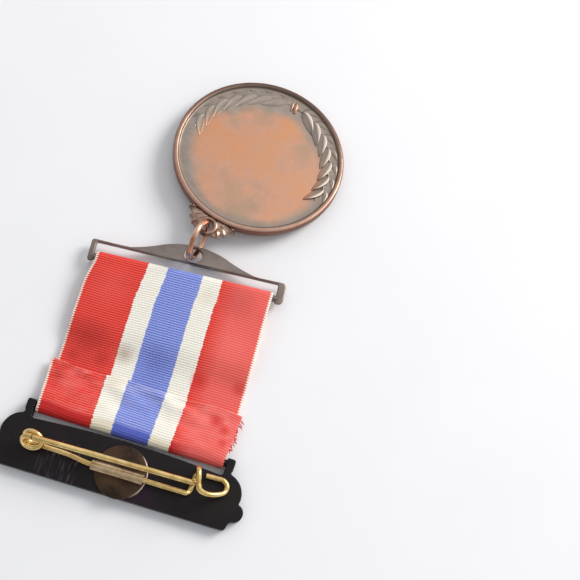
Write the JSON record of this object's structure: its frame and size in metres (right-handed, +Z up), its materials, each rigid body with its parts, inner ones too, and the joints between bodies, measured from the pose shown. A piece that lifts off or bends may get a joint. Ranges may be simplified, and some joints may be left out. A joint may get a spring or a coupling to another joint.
{
  "type": "military service medal",
  "caption": "Round bronze medal with a laurel wreath back, hung by a ring from a striped ribbon on a slotted brooch bar with a safety pin.",
  "frame": {"origin": "middle of the underside of the whole medal's box, lying face down with the ribbon laid out straight", "axes": "+X across the ribbon, +Y from the brooch bar towards the medal, +Z up out of the back"},
  "size_m": [0.0464, 0.089, 0.0085],
  "materials": {
    "dark_bronze": "dark patinated bronze, satin",
    "brown_patch": "soldered patch, tarnished",
    "pale_brass": "worn brass strap",
    "brass_wire": "bright drawn brass wire",
    "ribbon": "ribbed silk ribbon in red, cream and blue stripes",
    "thread": "cotton sewing thread",
    "grey_bronze": "grey-brown patinated bronze, satin",
    "copper_wire": "copper-brown wire",
    "medal_bronze": "struck bronze with a soft patina",
    "lug_bronze": "cast bronze, worn bright on its edges"
  },
  "bodies": {
    "brooch": {"brooch_bar": "dark_bronze", "brooch_rod": "dark_bronze", "pin_base_disc": "brown_patch", "pin_bridge": "pale_brass", "pin_leg": "brass_wire", "pin_catch": "brass_wire", "pin_coil": "brass_wire"},
    "needle": {"pin_needle": "brass_wire"},
    "ribbon": {"ribbon_front": "ribbon", "ribbon_back": "ribbon", "ribbon_flap": "ribbon", "ribbon_top_turn": "ribbon", "ribbon_bottom_turn": "ribbon", "ribbon_stitches": "thread"},
    "suspension": {"suspension_bar": "grey_bronze", "suspension_rod": "grey_bronze"},
    "ring": {"jump_ring": "copper_wire"},
    "medal": {"medal_disc": "medal_bronze", "wreath_right": "medal_bronze", "wreath_left": "medal_bronze", "wreath_tie": "medal_bronze", "front_star": "medal_bronze", "lug_scroll": "lug_bronze", "lug_eye": "lug_bronze"}
  },
  "joints": [
    {"name": "needle_open", "type": "hinge", "parent": "brooch", "child": "needle", "pos_m": [-0.01555, -0.03917, 0.00477], "axis": [0, -0.2588, -0.9659], "range_deg": [0, 28], "stiffness_Nm_per_rad": 0.01, "springref_deg": -2.86, "deforming": ["pin_coil"]},
    {"name": "ribbon_swing", "type": "hinge", "parent": "brooch", "child": "ribbon", "pos_m": [-0.00045, -0.03267, 0.00125], "axis": [1, 0, 0], "range_deg": [-80, 80]},
    {"name": "bar_swing", "type": "hinge", "parent": "ribbon", "child": "suspension", "pos_m": [-0.00045, -0.00157, 0.0019], "axis": [0.9974, 0.0715, 0], "range_deg": [-80, 80]},
    {"name": "ring_turn", "type": "hinge", "parent": "suspension", "child": "ring", "pos_m": [0.00026, 0.00571, 0.00442], "axis": [0.979, -0.1506, 0.1376], "range_deg": [-20, 60]},
    {"name": "medal_swing", "type": "hinge", "parent": "ring", "child": "medal", "pos_m": [0.00091, 0.00915, 0.00357], "axis": [0.0192, 0.0671, 0.9976], "range_deg": [-25, 25]}
  ]
}
